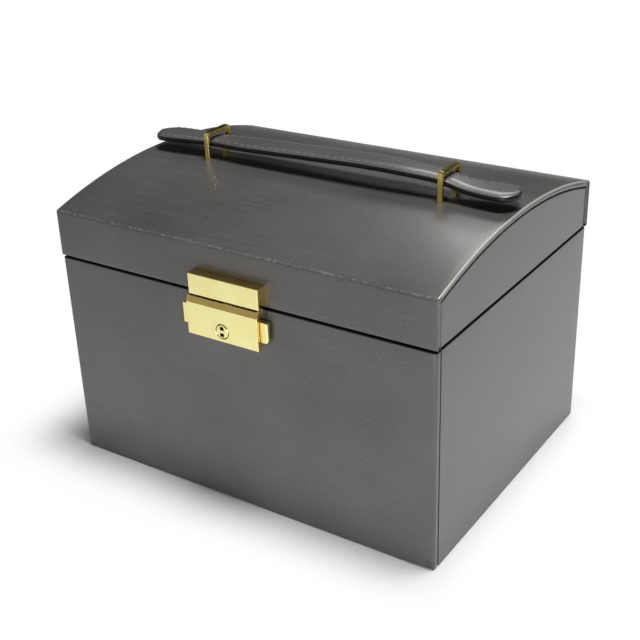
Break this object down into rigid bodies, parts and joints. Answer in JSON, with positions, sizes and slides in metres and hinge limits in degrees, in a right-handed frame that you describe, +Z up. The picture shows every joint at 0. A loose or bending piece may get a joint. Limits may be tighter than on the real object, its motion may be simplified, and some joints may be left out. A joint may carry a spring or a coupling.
{
  "type": "leather jewellery box",
  "caption": "Leather-covered jewellery box with a domed lid, press lock and strap handle; a drop-front flap hides two drawers under a lined tray, and a mirror sits inside the lid.",
  "frame": {"origin": "centre of the underside, on the surface the box stands on", "axes": "+X along the box's length to the right of someone facing the lock, -Y out of the front, +Z up"},
  "size_m": [0.23, 0.1862, 0.175],
  "materials": {
    "leather": "satin pearl, finely grained",
    "base_leather": "matte",
    "board": "bare fibreboard",
    "velvet": "short pile velvet",
    "roll_velvet": "padded velvet",
    "drawer_leather": "satin pearl",
    "brass": "polished",
    "spring_steel": "drawn wire",
    "mirror": "silvered glass"
  },
  "bodies": {
    "case": {"base_cover": "base_leather", "base_board": "board", "bay_floor": "velvet", "left_side_board": "board", "right_side_board": "board", "back_board": "board", "case_cover": "leather", "bay_liners": "velvet", "drawer_shelf": "velvet", "tray_floor": "velvet", "tray_walls": "velvet", "tray_dividers": "velvet", "ring_rolls": "roll_velvet", "left_hinge_case_leaf": "brass", "right_hinge_case_leaf": "brass", "hinge_pins": "brass", "hinge_screws_case": "brass"},
    "front_flap": {"flap_board": "board", "flap_cover": "leather", "flap_lining": "velvet", "lock_case": "brass", "lock_back_plate": "brass", "lock_rivets": "brass", "left_button_spring": "spring_steel", "right_button_spring": "spring_steel"},
    "left_button": {"left_button": "brass"},
    "right_button": {"right_button": "brass"},
    "key": {"key_cylinder": "brass", "key_cam": "brass"},
    "lid": {"lid_dome_board": "board", "lid_front_board": "board", "lid_back_board": "board", "lid_left_end_board": "board", "lid_right_end_board": "board", "lid_cover": "leather", "lid_left_end_cover": "leather", "lid_right_end_cover": "leather", "lid_liner_panel": "velvet", "lid_liner_walls": "velvet", "mirror": "mirror", "mirror_frame": "brass", "hasp_cover": "brass", "hasp_tongue": "brass", "hasp_rivets": "brass", "left_handle_loop": "brass", "right_handle_loop": "brass", "loop_clinch_plates": "brass", "left_hinge_lid_leaf": "brass", "right_hinge_lid_leaf": "brass", "hinge_screws_lid": "brass"},
    "strap": {"handle_strap": "leather"},
    "upper_drawer": {"upper_drawer_front": "drawer_leather", "upper_drawer_box": "velvet", "upper_drawer_dividers": "velvet", "upper_drawer_knob": "brass"},
    "lower_drawer": {"lower_drawer_front": "drawer_leather", "lower_drawer_box": "velvet", "lower_drawer_dividers": "velvet", "lower_drawer_knob": "brass"}
  },
  "joints": [
    {"name": "lid_hinge", "type": "hinge", "parent": "case", "child": "lid", "pos_m": [0, 0.09, 0.1205], "axis": [-1, 0, 0], "range_deg": [0, 95]},
    {"name": "flap_hinge", "type": "hinge", "parent": "case", "child": "front_flap", "pos_m": [0, -0.088, 0], "axis": [1, 0, 0], "range_deg": [0, 86]},
    {"name": "upper_drawer_slide", "type": "slide", "parent": "case", "child": "upper_drawer", "axis": [0, -1, 0], "range_m": [0, 0.1]},
    {"name": "lower_drawer_slide", "type": "slide", "parent": "case", "child": "lower_drawer", "axis": [0, -1, 0], "range_m": [0, 0.1]},
    {"name": "left_button_push", "type": "slide", "parent": "front_flap", "child": "left_button", "axis": [1, 0, 0], "range_m": [0, 0.0025], "stiffness_N_per_m": 400, "springref_m": -0.001, "deforming": ["left_button_spring"]},
    {"name": "right_button_push", "type": "slide", "parent": "front_flap", "child": "right_button", "axis": [-1, 0, 0], "range_m": [0, 0.0025], "stiffness_N_per_m": 400, "springref_m": -0.001, "deforming": ["right_button_spring"]},
    {"name": "key_turn", "type": "hinge", "parent": "front_flap", "child": "key", "pos_m": [-0.002, -0.093, 0.1047], "axis": [0, 1, 0], "range_deg": [0, 90]},
    {"name": "strap_lift", "type": "slide", "parent": "lid", "child": "strap", "axis": [0, 0, 1], "range_m": [-0.002, 0.001]}
  ],
  "couplings": [
    {"joint": "flap_hinge", "follows": "lid_hinge", "ratio": 0.9052},
    {"joint": "upper_drawer_slide", "follows": "lid_hinge", "m_per_rad": 0.0603},
    {"joint": "lower_drawer_slide", "follows": "lid_hinge", "m_per_rad": 0.0294}
  ]
}
